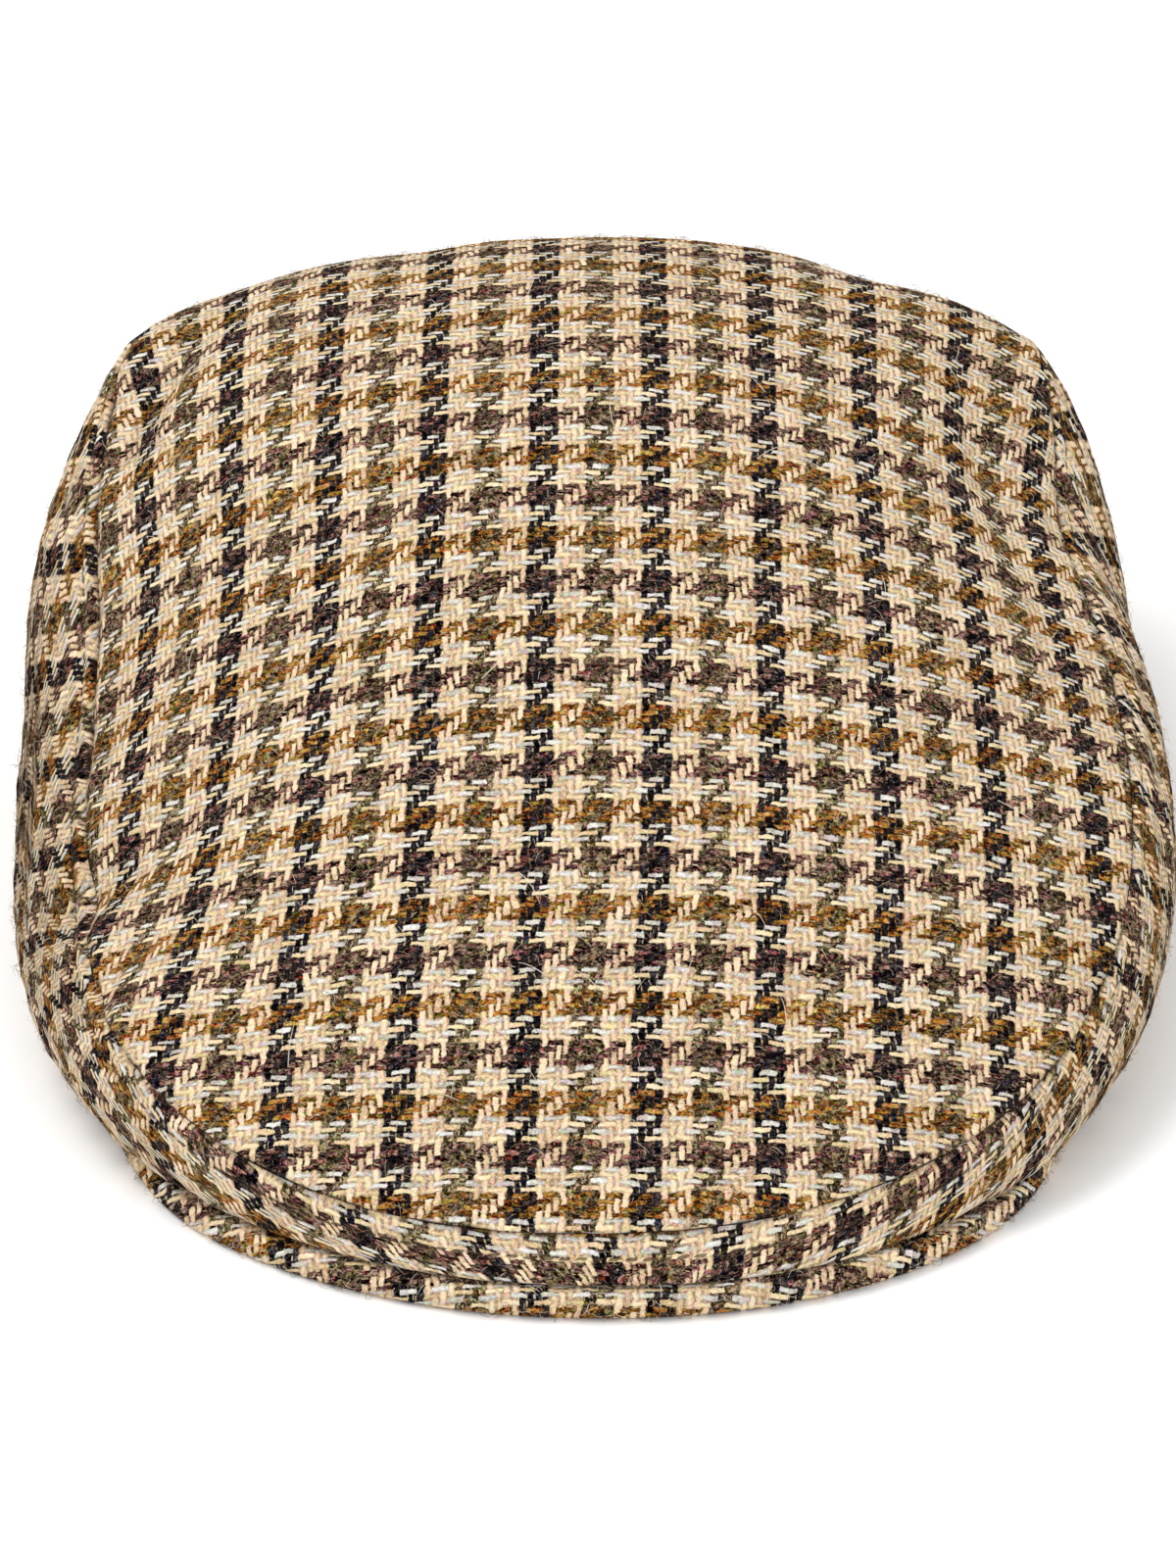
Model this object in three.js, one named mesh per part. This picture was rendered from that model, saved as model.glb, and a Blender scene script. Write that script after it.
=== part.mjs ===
// A flat cap in wool tweed: a one-piece cloth top, a cloth band that runs all round under it,
// and a stiff peak sewn below the front. Millimetres, +Z up. The peak points along -Y and the
// cap stands on its rim and peak at z = 0, with the origin at the middle of its footprint.

import * as THREE from 'three';

// ------------------------------------------------------------------ driving sizes

const CLOTH = 2.2; // wall of tweed with its fused backing
const SEAM_GAP = 0.35; // clearance between two sewn edges

// Where the top starts, at the seam above the middle of the peak
const FRONT_SEAM = { y: -130, z: 10.6 };

// Flat cut of the top: a front and a back half oval that meet at its widest line.
// A round of 2 is an ellipse, and more is squarer.
const TOP_CUT = { halfWidth: 107.9, front: 151, back: 147, frontRound: 2.29, backRound: 2.5 };

// The cut wanders to the right by this much, around this distance behind the front seam
const CUT_DRIFT = { by: 2.3, at: 70, over: 40 };

// Sections across the top, from front to back.
//   along     cloth between the front seam and the section, down the middle of the top
//   slope     degrees that the middle line climbs there
//   lean      degrees that the section's fall tips towards the back
//   left      degrees that the cloth has turned down 100 mm to the left of the middle
//   right     the same to the right
//   shoulder  degrees more at 100 mm, felt only near the edge
const SECTIONS = [
  { along: 0, slope: 22.7, lean: 29, left: 8, right: 10, shoulder: 5 },
  { along: 45, slope: 22.5, lean: 34, left: 19, right: 25, shoulder: 4 },
  { along: 90, slope: 24.9, lean: 35, left: 40, right: 28, shoulder: 1 },
  { along: 130, slope: 25.4, lean: 31, left: 49, right: 36, shoulder: -4 },
  { along: 165, slope: 21.6, lean: 29, left: 50, right: 44, shoulder: -5 },
  { along: 195, slope: 15.8, lean: 27, left: 39, right: 46, shoulder: 2 },
  { along: 220, slope: 6.4, lean: 22, left: 30, right: 35, shoulder: 10 },
  { along: 245, slope: -5.2, lean: 10, left: 22, right: 24, shoulder: 14 },
  { along: 268, slope: -26, lean: -6, left: 26, right: 29, shoulder: 24 },
  { along: 288, slope: -54, lean: -22, left: 38, right: 42, shoulder: 34 },
  { along: 308, slope: -78, lean: -30, left: 44, right: 46, shoulder: 38 },
];

// Soft folds and dents of the top: where, which way they run (degrees from across),
// half length, half width, and how deep they are.
const TOP_FOLDS = [
  { across: -93, along: 214, turn: 65, long: 22, wide: 7, deep: 2.2 },
  { across: -78, along: 232, turn: 40, long: 18, wide: 7, deep: 1.4 },
  { across: -88, along: 66, turn: 70, long: 20, wide: 8, deep: 1.4 },
  { across: -62, along: 128, turn: 60, long: 45, wide: 16, deep: 1.2 },
  { across: 84, along: 196, turn: 105, long: 30, wide: 9, deep: 1.6 },
  { across: -34, along: 262, turn: 90, long: 26, wide: 12, deep: 1.3 },
  { across: 58, along: 258, turn: 80, long: 26, wide: 12, deep: 1.4 },
];

// Lower edge of the band: over the peak at the front, then the rim round the head
const LOWER_EDGE = { y: -21.9, rimHalfWidth: 93.7, peakHalfWidth: 104, front: 116.8, back: 138 };
const LOWER_ROUND = { front: 2.1, back: 2.2 };
const PEAK_ASIDE = 3; // the middle of the peak sits this much to the right

// Fall of the band from the seam to its lower edge, at angles round from the front.
//   leave, out   degrees below level in which it leaves the seam, and how far it keeps to that
//   enter, up    degrees above level from which it reaches the lower edge, and how far
const BAND_FALL = [
  { angle: 0, leave: 50, out: 2.5, enter: 45, up: 2.5 },
  { angle: 35, leave: 50, out: 5.9, enter: 45, up: 3.9 },
  { angle: 60, leave: 52, out: 5, enter: 54, up: 26 },
  { angle: 90, leave: 29, out: 17, enter: 60, up: 34.5 },
  { angle: 125, leave: 54, out: 34, enter: 68, up: 36 },
  { angle: 155, leave: 66, out: 22, enter: 76, up: 26 },
  { angle: 180, leave: 78, out: 22, enter: 78, up: 24 },
];

// Peak: its edge stands proud of the band at the front, and thins to corners tucked in behind it
const PEAK = { thick: 4.9, cornerThick: 1.4, proud: 2, tuck: 3, edgeRound: 1.6 };
// Share of the way forwards where the peak's corners are, and where it is at its full thickness
const PEAK_REACH = { corner: 0.2, full: 0.75 };
const HEAD_OPENING = { y: -21, halfWidth: 90.9, front: 59, round: 2.2 };

// How finely the walls are faceted
const AROUND = 88;
const TOP_RINGS = 13;
const BAND_RINGS = 8;

// ------------------------------------------------------------------ small helpers

const radians = THREE.MathUtils.degToRad;
const clamp = THREE.MathUtils.clamp;

// |x| to the power n, with the sign of x
function signedPower(x, n) {
  return Math.sign(x) * Math.abs(x) ** n;
}

// One column of a table at any place, on a cubic through its rows
function column(table, key, name, at) {
  const last = table.length - 1;
  const x = clamp(at, table[0][key], table[last][key]);
  let i = 0;
  while (i < last - 1 && table[i + 1][key] < x) i += 1;
  const tangent = (k) => {
    const a = table[Math.max(k - 1, 0)];
    const b = table[Math.min(k + 1, last)];
    return (b[name] - a[name]) / (b[key] - a[key]);
  };
  const from = table[i];
  const to = table[i + 1];
  const span = to[key] - from[key];
  const t = (x - from[key]) / span;
  const stay = (1 + 2 * t) * (1 - t) ** 2 * from[name] + t * t * (3 - 2 * t) * to[name];
  const lead = t * (1 - t) ** 2 * tangent(i) - t * t * (1 - t) * tangent(i + 1);
  return stay + span * lead;
}

// ------------------------------------------------------------------ the top

// Middle line of the top, walked in steps of 1 mm of cloth
const middleLine = [{ y: FRONT_SEAM.y, z: FRONT_SEAM.z }];
for (let along = 0; along < TOP_CUT.front + TOP_CUT.back; along += 1) {
  const slope = radians(column(SECTIONS, 'along', 'slope', along + 0.5));
  const here = middleLine[middleLine.length - 1];
  middleLine.push({ y: here.y + Math.cos(slope), z: here.z + Math.sin(slope) });
}

function middlePoint(along) {
  const at = clamp(along, 0, middleLine.length - 1.001);
  const i = Math.floor(at);
  const t = at - i;
  const [a, b] = [middleLine[i], middleLine[i + 1]];
  return { y: a.y + (b.y - a.y) * t, z: a.z + (b.z - a.z) * t };
}

// Flat cut of the top at an angle round from the right side: how far across and along
function topCut(angle) {
  const c = Math.cos(angle);
  const s = Math.sin(angle);
  const round = 2 / (s < 0 ? TOP_CUT.frontRound : TOP_CUT.backRound);
  const length = s < 0 ? TOP_CUT.front : TOP_CUT.back;
  const along = TOP_CUT.front + length * signedPower(s, round);
  const drift = CUT_DRIFT.by * Math.exp(-(((along - CUT_DRIFT.at) / CUT_DRIFT.over) ** 2));
  return { across: TOP_CUT.halfWidth * signedPower(c, round) + drift, along };
}

// The point of the worn shape that lies this far across and along the cloth of the top:
// the section turns down evenly from the middle, and leans back as it falls
function topPoint(across, along) {
  const STEPS = 8;
  const toRight = 0.5 + 0.5 * Math.tanh(across / 12);
  const left = column(SECTIONS, 'along', 'left', along);
  const right = column(SECTIONS, 'along', 'right', along);
  const turn = radians(left + (right - left) * toRight);
  const shoulder = radians(column(SECTIONS, 'along', 'shoulder', along));
  const lean = radians(column(SECTIONS, 'along', 'lean', along));
  let out = 0;
  let fall = 0;
  for (let i = 0; i < STEPS; i += 1) {
    const t = (Math.abs(across) / 100) * ((i + 0.5) / STEPS);
    const tilt = turn * t + shoulder * t ** 4;
    out += (across * Math.cos(tilt)) / STEPS;
    fall += (Math.abs(across) * Math.sin(tilt)) / STEPS;
  }
  const middle = middlePoint(along);
  return new THREE.Vector3(
    out,
    middle.y + fall * Math.sin(lean),
    middle.z - fall * Math.cos(lean),
  );
}

// How deep the folds are at a place on the top
function foldDepth(across, along) {
  let depth = 0;
  for (const fold of TOP_FOLDS) {
    const [c, s] = [Math.cos(radians(fold.turn)), Math.sin(radians(fold.turn))];
    const [dx, dy] = [across - fold.across, along - fold.along];
    const down = (dx * c + dy * s) / fold.long;
    const over = (dy * c - dx * s) / fold.wide;
    depth += fold.deep * Math.exp(-down * down - over * over);
  }
  return depth;
}

// ------------------------------------------------------------------ the band

function seamPoint(angle) {
  const cut = topCut(angle);
  return topPoint(cut.across, cut.along);
}

// Thickness of the peak's edge, from its corners to the middle of the front
function peakThickness(angle) {
  const share = THREE.MathUtils.smoothstep(-Math.sin(angle), PEAK_REACH.corner, PEAK_REACH.full);
  return PEAK.cornerThick + (PEAK.thick - PEAK.cornerThick) * share;
}

function overPeak(angle) {
  return -Math.sin(angle) >= PEAK_REACH.corner;
}

// Lower edge of the band, moved outwards by a distance
function lowerEdge(angle, outwards = 0) {
  const place = (a) => {
    const s = Math.sin(a);
    const round = 2 / (s < 0 ? LOWER_ROUND.front : LOWER_ROUND.back);
    const length = s < 0 ? LOWER_EDGE.front : LOWER_EDGE.back;
    const extra = (LOWER_EDGE.peakHalfWidth - LOWER_EDGE.rimHalfWidth) * Math.max(-s, 0);
    const x = (LOWER_EDGE.rimHalfWidth + extra) * signedPower(Math.cos(a), round);
    const aside = PEAK_ASIDE * Math.max(-s, 0) ** 2;
    return new THREE.Vector2(x + aside, LOWER_EDGE.y + length * signedPower(s, round));
  };
  const here = place(angle);
  const way = place(angle + 0.01).sub(place(angle - 0.01)).normalize();
  const lift = overPeak(angle) ? peakThickness(angle) + SEAM_GAP : 0;
  return new THREE.Vector3(here.x + way.y * outwards, here.y - way.x * outwards, lift);
}

// Level direction that points out of the band
function outward(angle) {
  const middle = (a) => seamPoint(a).add(lowerEdge(a));
  const way = middle(angle + 0.01).sub(middle(angle - 0.01)).setZ(0).normalize();
  return new THREE.Vector3(way.y, -way.x, 0);
}

// The band falls from the seam (0) to its lower edge (1) on one Bezier curve
function bandPoint(angle, fall) {
  const turned = Math.abs(THREE.MathUtils.euclideanModulo(90 + (angle * 180) / Math.PI, 360));
  const round = turned > 180 ? 360 - turned : turned;
  const size = (name) => column(BAND_FALL, 'angle', name, round);
  const out = outward(angle);
  const leave = radians(size('leave'));
  const enter = radians(size('enter'));
  const seam = seamPoint(angle);
  const edge = lowerEdge(angle);
  const first = seam.clone().addScaledVector(out, size('out') * Math.cos(leave));
  first.z -= size('out') * Math.sin(leave);
  const second = edge.clone().addScaledVector(out, size('up') * Math.cos(enter));
  second.z += size('up') * Math.sin(enter);
  return new THREE.CubicBezierCurve3(seam, first, second, edge).getPoint(fall);
}

// ------------------------------------------------------------------ walls

// Closed mesh of a wall between two stacks of rings, the outer and the inner one.
// With a pole, both stacks start from one point.
function wall(outer, inner, poles) {
  const around = outer[0].length;
  const positions = [];
  const index = [];
  const ringStarts = [];
  for (const ring of [...outer, ...inner]) {
    ringStarts.push(positions.length / 3);
    ring.forEach((p) => positions.push(p.x, p.y, p.z));
  }
  const strip = (a, b, flip) => {
    for (let i = 0; i < around; i += 1) {
      const j = (i + 1) % around;
      const [p, q, r, s] = [a + i, a + j, b + j, b + i];
      if (flip) index.push(p, r, q, p, s, r);
      else index.push(p, q, r, p, r, s);
    }
  };
  const rows = outer.length;
  for (let k = 0; k + 1 < rows; k += 1) {
    strip(ringStarts[k], ringStarts[k + 1], true);
    strip(ringStarts[rows + k], ringStarts[rows + k + 1], false);
  }
  strip(ringStarts[rows - 1], ringStarts[2 * rows - 1], true);
  if (poles) {
    poles.forEach((pole, side) => {
      const tip = positions.length / 3;
      positions.push(pole.x, pole.y, pole.z);
      const start = ringStarts[side * rows];
      for (let i = 0; i < around; i += 1) {
        const j = (i + 1) % around;
        if (side === 0) index.push(tip, start + i, start + j);
        else index.push(tip, start + j, start + i);
      }
    });
  } else {
    strip(ringStarts[0], ringStarts[rows], false);
  }
  const geometry = new THREE.BufferGeometry();
  geometry.setAttribute('position', new THREE.Float32BufferAttribute(positions, 3));
  geometry.setIndex(index);
  geometry.computeVertexNormals();
  return geometry;
}

// Outward normals of a stack of rings, from the neighbours of each point
function normalsOf(rings) {
  const around = rings[0].length;
  return rings.map((ring, k) => ring.map((_, i) => {
    const along = rings[Math.min(k + 1, rings.length - 1)][i].clone();
    along.sub(rings[Math.max(k - 1, 0)][i]);
    const round = ring[(i + 1) % around].clone().sub(ring[(i + around - 1) % around]);
    return along.cross(round).normalize();
  }));
}

function inside(rings, normals) {
  return rings.map((ring, k) => ring.map((p, i) => p.clone().addScaledVector(normals[k][i], -CLOTH)));
}

const angles = Array.from({ length: AROUND }, (_, i) => (2 * Math.PI * i) / AROUND);

// Rings of the top run from near its middle out to the seam, where the cloth rolls under
const middleOfTop = { across: 0, along: TOP_CUT.front };
const topRings = [];
for (let k = 1; k <= TOP_RINGS; k += 1) {
  const share = k / TOP_RINGS;
  topRings.push(angles.map((angle) => {
    const cut = topCut(angle);
    const along = middleOfTop.along + (cut.along - middleOfTop.along) * share;
    return topPoint(cut.across * share, along);
  }));
}
const bandRings = [];
for (let k = 1; k <= BAND_RINGS; k += 1) {
  bandRings.push(angles.map((angle) => bandPoint(angle, k / BAND_RINGS)));
}

// Both pieces share their directions at the seam, so that the two sewn edges run parallel
const allNormals = normalsOf([...topRings, ...bandRings]);
const topNormals = allNormals.slice(0, TOP_RINGS);
const bandNormals = allNormals.slice(TOP_RINGS - 1);
bandNormals[BAND_RINGS] = angles.map((angle) => outward(angle));

topRings.forEach((ring, k) => ring.forEach((point, i) => {
  const share = (k + 1) / TOP_RINGS;
  const cut = topCut(angles[i]);
  const along = middleOfTop.along + (cut.along - middleOfTop.along) * share;
  point.addScaledVector(topNormals[k][i], -foldDepth(cut.across * share, along));
}));

// The seam: each piece stops half the clearance short of it
const seamRing = topRings[TOP_RINGS - 1].map((p) => p.clone());
const shorten = (point, towards) => {
  const way = towards.clone().sub(point).normalize();
  return point.clone().addScaledVector(way, SEAM_GAP / 2);
};
topRings[TOP_RINGS - 1] = seamRing.map((p, i) => shorten(p, topRings[TOP_RINGS - 2][i]));
const bandTop = seamRing.map((p, i) => shorten(p, bandRings[0][i]));

function makeTop() {
  const centre = topPoint(middleOfTop.across, middleOfTop.along);
  const ahead = topPoint(0, middleOfTop.along + 1).sub(centre);
  const aside = topPoint(1, middleOfTop.along).sub(centre);
  const up = aside.cross(ahead).normalize();
  const under = centre.clone().addScaledVector(up, -CLOTH);
  return wall(topRings, inside(topRings, topNormals), [centre, under]);
}

// The band's inner face stops level with its lower edge, and from there it runs flat out to it,
// so that the band lies flat on the peak
function makeBand() {
  const rings = [bandTop, ...bandRings];
  const inner = inside(rings, bandNormals);
  angles.forEach((angle, i) => {
    const floor = lowerEdge(angle).z;
    const first = inner.findIndex((ring) => ring[i].z <= floor + 0.02);
    const start = inner[first][i].clone().setZ(floor);
    const edge = rings[BAND_RINGS][i];
    for (let k = first; k <= BAND_RINGS; k += 1) {
      inner[k][i].lerpVectors(start, edge, (k - first) / (BAND_RINGS + 1 - first));
    }
  });
  return wall(rings, inner, null);
}

// ------------------------------------------------------------------ the peak

// Front edge of the head opening, which is the back edge of the peak
function openingEdge(angle) {
  const round = 2 / HEAD_OPENING.round;
  const x = HEAD_OPENING.halfWidth * signedPower(Math.cos(angle), round);
  return new THREE.Vector3(x, HEAD_OPENING.y + HEAD_OPENING.front * signedPower(Math.sin(angle), round), 0);
}

// Outline of the peak cut through at one angle: flat below and above, round at its edge
function peakSection(angle) {
  const forwards = THREE.MathUtils.smoothstep(-Math.sin(angle), 0.45, 0.8);
  const stand = -PEAK.tuck + (PEAK.proud + PEAK.tuck) * forwards;
  const thick = peakThickness(angle);
  const edge = lowerEdge(angle, stand).setZ(0);
  const back = openingEdge(angle);
  const reach = edge.distanceTo(back);
  const round = Math.min(PEAK.edgeRound, thick / 3);
  const at = (fromEdge, height) => edge.clone().lerp(back, fromEdge / reach).setZ(height);
  return [
    at(reach, 0),
    at(reach / 2, 0),
    at(round, 0),
    at(round * 0.3, thick * 0.18),
    at(0, thick * 0.5),
    at(round * 0.3, thick * 0.82),
    at(round, thick),
    at(reach / 2, thick),
    at(reach, thick),
  ];
}

// The peak is cut at the same angles as the band, and starts one cut inside the step that the
// band's lower edge makes over each of its corners
function makePeak() {
  const sections = angles.filter(overPeak).slice(1, -1).map(peakSection);
  const stations = sections.length - 1;
  const count = sections[0].length;
  const positions = sections.flat().flatMap((p) => [p.x, p.y, p.z]);
  const index = [];
  for (let k = 0; k < stations; k += 1) {
    for (let i = 0; i < count; i += 1) {
      const j = (i + 1) % count;
      const [p, q, r, s] = [k * count + i, k * count + j, (k + 1) * count + j, (k + 1) * count + i];
      index.push(p, r, q, p, s, r);
    }
  }
  const end = stations * count;
  for (let i = 1; i + 1 < count; i += 1) {
    index.push(0, i, i + 1);
    index.push(end, end + i + 1, end + i);
  }
  const geometry = new THREE.BufferGeometry();
  geometry.setAttribute('position', new THREE.Float32BufferAttribute(positions, 3));
  geometry.setIndex(index);
  geometry.computeVertexNormals();
  return geometry;
}

// ------------------------------------------------------------------ the cap

const tweed = new THREE.MeshStandardMaterial({ color: 0x9f8972, roughness: 0.95, metalness: 0 });
const tweedBand = tweed.clone();
const tweedPeak = tweed.clone();
tweedBand.color.set(0x968069);
tweedPeak.color.set(0x8a7560);

const cap = new THREE.Group();
const pieces = [
  ['top_panel', makeTop(), tweed],
  ['side_band', makeBand(), tweedBand],
  ['peak', makePeak(), tweedPeak],
];
for (const [name, geometry, material] of pieces) {
  const mesh = new THREE.Mesh(geometry, material);
  mesh.name = name;
  cap.add(mesh);
}

// The origin goes to the middle of the footprint
const box = new THREE.Box3().setFromObject(cap);
const middle = box.getCenter(new THREE.Vector3());
for (const mesh of cap.children) {
  mesh.geometry.translate(-middle.x, -middle.y, 0);
}

export default cap;
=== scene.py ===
import math
from functools import partialmethod, reduce

import bpy
import numpy as np
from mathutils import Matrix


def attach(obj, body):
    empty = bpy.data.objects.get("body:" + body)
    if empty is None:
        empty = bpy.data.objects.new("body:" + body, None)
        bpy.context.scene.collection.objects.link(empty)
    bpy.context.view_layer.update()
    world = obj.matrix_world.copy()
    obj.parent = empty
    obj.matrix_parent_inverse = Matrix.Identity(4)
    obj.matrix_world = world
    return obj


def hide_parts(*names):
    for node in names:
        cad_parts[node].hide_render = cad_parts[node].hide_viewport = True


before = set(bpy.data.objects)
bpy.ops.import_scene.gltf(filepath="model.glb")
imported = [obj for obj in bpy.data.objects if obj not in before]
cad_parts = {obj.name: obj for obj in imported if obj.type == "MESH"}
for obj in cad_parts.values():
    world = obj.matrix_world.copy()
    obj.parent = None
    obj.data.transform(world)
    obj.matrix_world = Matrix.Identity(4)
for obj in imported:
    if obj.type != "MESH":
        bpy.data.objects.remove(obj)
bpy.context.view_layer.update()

# ---------------------------------------------------------------- floor, light and camera
# A pale seamless table under a large soft overhead light, with a weaker one low at the front.
# The camera looks down on the peak from in front of the cap.

MM = 0.001
CAMERA_PLACE = (-0.03 * MM, -861.1 * MM, 483.6 * MM)
CAMERA_TILT = math.radians(62)
CAMERA_LENS = 120
FLOOR_REACH = 6
FLOOR_FINISH = {"Base Color": (0.93, 0.93, 0.93, 1), "Roughness": 0.9}
ROOM_LIGHT = 0.97



def placed(name, data):
    """An object with the given data, in the scene."""
    thing = bpy.data.objects.new(name, data)
    bpy.context.scene.collection.objects.link(thing)
    return thing


camera_data = bpy.data.cameras.new("camera")
camera_data.lens = CAMERA_LENS
camera = placed("camera", camera_data)
camera.location = CAMERA_PLACE
camera.rotation_euler = (CAMERA_TILT, 0, 0)
bpy.context.scene.camera = camera
bpy.context.scene.view_settings.view_transform = "Standard"

room = bpy.data.worlds.new("room")
room.use_nodes = True
room.node_tree.nodes["Background"].inputs["Color"].default_value = (1, 1, 1, 1)
room.node_tree.nodes["Background"].inputs["Strength"].default_value = ROOM_LIGHT
bpy.context.scene.world = room


def soft_light(name, place, turn, size, power):
    """A square area light of the given side in metres, turned by Euler degrees."""
    data = bpy.data.lights.new(name, "AREA")
    data.size = size
    data.energy = power
    light = placed(name, data)
    light.location = place
    light.rotation_euler = [math.radians(t) for t in turn]


def plain_material(name, finish):
    """A material of one shader with the inputs that its finish names, and that shader."""
    material = bpy.data.materials.new(name)
    material.use_nodes = True
    shader = material.node_tree.nodes["Principled BSDF"]
    for label, value in finish.items():
        shader.inputs[label].default_value = value
    return material, shader


soft_light("overhead", place=(-0.6, -0.1, 1.15), turn=(5, -27, 0), size=0.7, power=7.5)
soft_light("front_fill", place=(0.9, -1.3, 0.5), turn=(72, 0, 35), size=0.8, power=5)

floor_mesh = bpy.data.meshes.new("floor")
floor_corners = [(x * FLOOR_REACH, y * FLOOR_REACH, 0) for x, y in ((-1, -1), (1, -1), (1, 1), (-1, 1))]
floor_mesh.from_pydata(floor_corners, [], [(0, 1, 2, 3)])
floor = placed("floor", floor_mesh)
floor_mesh.materials.append(plain_material("pale_floor", FLOOR_FINISH)[0])

# ---------------------------------------------------------------- top panel
# One piece of wool tweed, cut as a broad oval and drawn down on to the peak. It is sewn to the
# band all round with the edges turned in, so it rolls under into the seam. Soft dents and folds
# come from wear and from how it is packed.

CLOTH = 2.2
SEAM_GAP = 0.35
FOOT_CENTRE = np.array([0.43, 0.38, 0.0])
FRONT_SEAM = (-130.0, 10.6)
CUT_HALF_WIDTH, CUT_FRONT, CUT_BACK = 107.9, 151.0, 147.0
CUT_FRONT_ROUND, CUT_BACK_ROUND = 2.29, 2.5
CUT_DRIFT, CUT_DRIFT_AT, CUT_DRIFT_OVER = 2.3, 70.0, 40.0
TURN_STATED_AT, LEFT_TO_RIGHT_OVER, TURN_STEPS = 100, 12, 8


def table(columns, rows):
    """A table with named columns and one row for each station."""
    return np.array(rows, dtype=[(name, float) for name in columns.split()])


# along: cloth from the front seam; slope of the middle line; lean of the fall to the back;
# left, right: degrees turned down at 100 mm out; shoulder: degrees more, near the edge
SECTIONS = table("along slope lean left right shoulder", [
    (0, 22.7, 29, 8, 10, 5),
    (45, 22.5, 34, 19, 25, 4),
    (90, 24.9, 35, 40, 28, 1),
    (130, 25.4, 31, 49, 36, -4),
    (165, 21.6, 29, 50, 44, -5),
    (195, 15.8, 27, 39, 46, 2),
    (220, 6.4, 22, 30, 35, 10),
    (245, -5.2, 10, 22, 24, 14),
    (268, -26, -6, 26, 29, 24),
    (288, -54, -22, 38, 42, 34),
    (308, -78, -30, 44, 46, 38),
])

# Dents and folds: centre, degrees from across, half length, half width and depth
TOP_FOLDS = table("across along turn long wide deep", [
    (-93, 213, 62, 24, 7, 3.3),
    (-98, 92, 25, 20, 9, 3.2),
    (-78, 232, 40, 18, 7, 1.4),
    (-88, 66, 70, 20, 8, 1.4),
    (-62, 128, 60, 45, 16, 1.2),
    (86, 192, 102, 34, 8, 2.4),
    (-34, 262, 90, 26, 12, 1.3),
    (58, 258, 80, 26, 12, 1.4),
])


def read(rows, name, at):
    """A column at any place: a cubic through its rows, with slopes taken from the neighbours."""
    x = rows[rows.dtype.names[0]]
    y = rows[name]
    inner = (y[2:] - y[:-2]) / (x[2:] - x[:-2])
    ends = (y[1] - y[0]) / (x[1] - x[0]), (y[-1] - y[-2]) / (x[-1] - x[-2])
    slope = np.concatenate([[ends[0]], inner, [ends[1]]])
    at = np.clip(at, x[0], x[-1])
    i = np.clip(np.searchsorted(x, at, side="right") - 1, 0, len(x) - 2)
    span = x[i + 1] - x[i]
    t = (at - x[i]) / span
    value = (1 + 2 * t) * (1 - t) ** 2 * y[i] + t * t * (3 - 2 * t) * y[i + 1]
    return value + span * (t * (1 - t) ** 2 * slope[i] - t * t * (1 - t) * slope[i + 1])


def power(x, n):
    """|x| to the power n, with the sign of x."""
    return np.sign(x) * np.abs(x) ** n


def bell(x, wide):
    """exp(-(x / wide)^2), 1 in the middle."""
    return np.exp(-((x / wide) ** 2))


line_along = np.arange(0, CUT_FRONT + CUT_BACK + 1)
line_slope = np.radians(read(SECTIONS, "slope", line_along[:-1] + 0.5))
line_y = FRONT_SEAM[0] + np.concatenate([[0], np.cumsum(np.cos(line_slope))])
line_z = FRONT_SEAM[1] + np.concatenate([[0], np.cumsum(np.sin(line_slope))])


def top_cut(angle):
    """The flat cut: half width times cos to 2/round, length times sin to 2/round, and a drift."""
    s = np.sin(angle)
    rounding = 2 / np.where(s < 0, CUT_FRONT_ROUND, CUT_BACK_ROUND)
    length = np.where(s < 0, CUT_FRONT, CUT_BACK)
    along = CUT_FRONT + length * power(s, rounding)
    drift = CUT_DRIFT * bell(along - CUT_DRIFT_AT, CUT_DRIFT_OVER)
    return CUT_HALF_WIDTH * power(np.cos(angle), rounding) + drift, along


def top_point(across, along):
    """Where a place on the cloth lies: from the middle line outwards, the cloth turns down in
    proportion to its distance, plus a fourth power at the shoulder, and its fall leans back."""
    to_right = 0.5 + 0.5 * np.tanh(across / LEFT_TO_RIGHT_OVER)
    left, right = read(SECTIONS, "left", along), read(SECTIONS, "right", along)
    turn = np.radians(left + (right - left) * to_right)
    shoulder = np.radians(read(SECTIONS, "shoulder", along))
    lean = np.radians(read(SECTIONS, "lean", along))
    out = np.zeros_like(turn)
    fall = np.zeros_like(turn)
    for i in range(TURN_STEPS):
        t = np.abs(across) / TURN_STATED_AT * (i + 0.5) / TURN_STEPS
        tilt = turn * t + shoulder * t**4
        out += across * np.cos(tilt) / TURN_STEPS
        fall += np.abs(across) * np.sin(tilt) / TURN_STEPS
    y = np.interp(along, line_along, line_y) + fall * np.sin(lean)
    z = np.interp(along, line_along, line_z) - fall * np.cos(lean)
    return np.stack([out, y, z], -1)


def fold_depth(across, along):
    """Sum of the dents, each a hill of exp(-length^2 - width^2) turned to its own direction."""
    depth = np.zeros_like(across)
    for fold in TOP_FOLDS:
        c, s = np.cos(np.radians(fold["turn"])), np.sin(np.radians(fold["turn"]))
        dx, dy = across - fold["across"], along - fold["along"]
        down = (dx * c + dy * s) / fold["long"]
        over = (dy * c - dx * s) / fold["wide"]
        depth += fold["deep"] * np.exp(-(down**2) - over**2)
    return depth


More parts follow.
